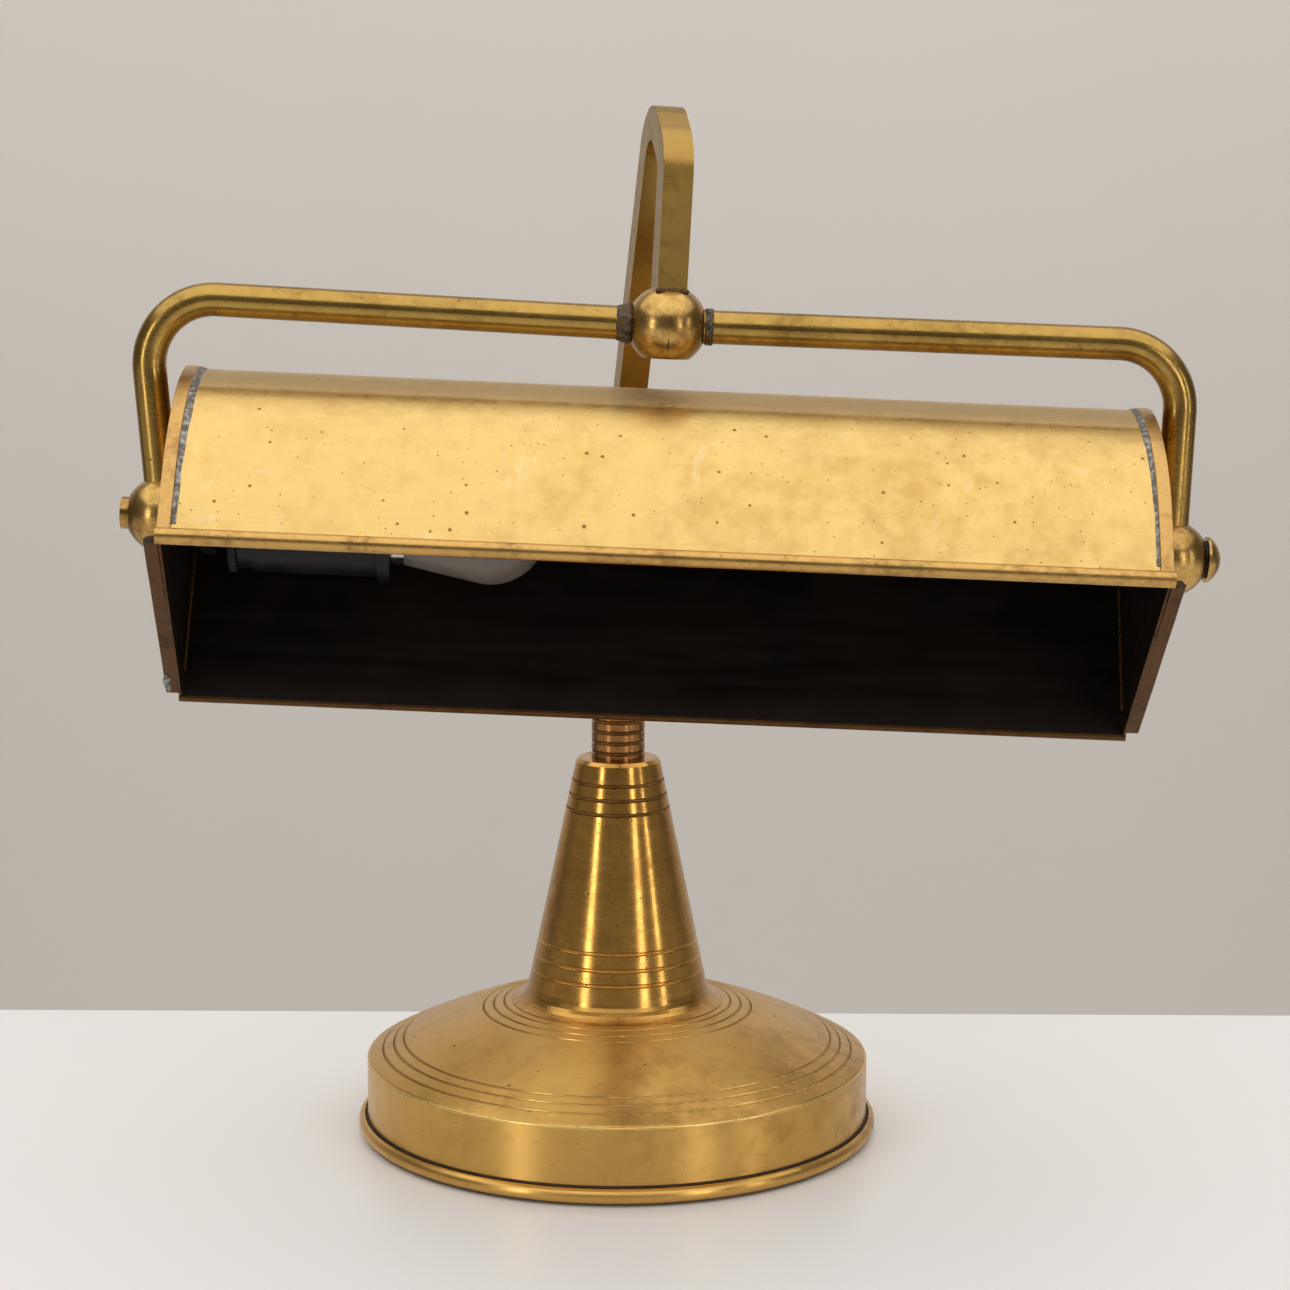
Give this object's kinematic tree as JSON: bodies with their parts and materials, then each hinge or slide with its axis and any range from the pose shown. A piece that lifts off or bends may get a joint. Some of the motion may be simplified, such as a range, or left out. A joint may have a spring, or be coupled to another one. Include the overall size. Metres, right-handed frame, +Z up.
{
  "type": "brass desk lamp",
  "caption": "Brass desk lamp: round weighted base, ribbed neck, crooked flat arm and a yoke of tube that holds a long tilting trough shade.",
  "frame": {"origin": "middle of the underside of the base, on the felt", "axes": "+Z up along the base and neck, -Y towards the front where the shade hangs, +X to the right as seen from the front"},
  "size_m": [0.3489, 0.2261, 0.3511],
  "materials": {
    "brass": "worn, lacquered, warm",
    "shade_brass": "spotted and mottled, half polished",
    "coppery_brass": "tarnished brown",
    "inner_brass": "plain",
    "cast_iron": "rough",
    "steel": "dull",
    "felt": "short pile",
    "bakelite": "black, slightly worn",
    "bulb_metal": "bright",
    "frosted_glass": "frosted white"
  },
  "bodies": {
    "base": {"base_shell": "brass", "pedestal_cone": "brass", "base_weight": "cast_iron", "felt_pad": "felt", "tie_rod": "inner_brass", "tie_rod_nut": "inner_brass", "tie_rod_washer": "steel", "neck_column": "coppery_brass", "swivel_screw": "brass", "cord_inlet_bush": "bakelite", "swivel_washer": "steel"},
    "fork": {"fork_head": "brass", "knuckle_screw": "brass", "knuckle_nut": "brass", "knuckle_washers": "steel"},
    "arm": {"arm_bar": "brass", "centre_ball": "brass", "yoke_collar": "coppery_brass", "left_tube": "brass", "right_tube": "brass", "left_ball": "brass", "right_ball": "brass"},
    "shade": {"shade_trough": "shade_brass", "left_end_cap": "shade_brass", "right_end_cap": "shade_brass", "front_lip": "shade_brass", "front_lip_wire": "steel", "rear_lip": "coppery_brass", "pivot_nipple": "inner_brass", "pivot_cap_nut": "brass", "nipple_spacer": "inner_brass", "nipple_lock_nut": "steel", "pivot_washers": "steel", "clamp_screw_nut": "inner_brass", "holder_ring": "bakelite", "holder_body": "bakelite", "holder_flange": "bakelite", "holder_screw_shell": "inner_brass", "holder_contact": "inner_brass", "bulb_cap": "bulb_metal", "bulb_glass": "frosted_glass"},
    "knob": {"clamp_screw": "brass", "knob_washer": "bakelite"}
  },
  "joints": [
    {"name": "arm_swivel", "type": "hinge", "parent": "base", "child": "fork", "pos_m": [0, 0, 0.205], "axis": [0, 0, 1], "range_deg": [-150, 150]},
    {"name": "arm_tilt", "type": "hinge", "parent": "fork", "child": "arm", "pos_m": [0, 0, 0.224], "axis": [0.9845, 0.1754, 0], "range_deg": [-30, 17]},
    {"name": "shade_tilt", "type": "hinge", "parent": "arm", "child": "shade", "pos_m": [0.01454, -0.07111, 0.21591], "axis": [0.999, 0.0173, -0.0412], "range_deg": [-60, 40]},
    {"name": "clamp_turn", "type": "hinge", "parent": "shade", "child": "knob", "pos_m": [0.01454, -0.07111, 0.21591], "axis": [0.999, 0.0173, -0.0412], "range_deg": [0, 300]}
  ]
}
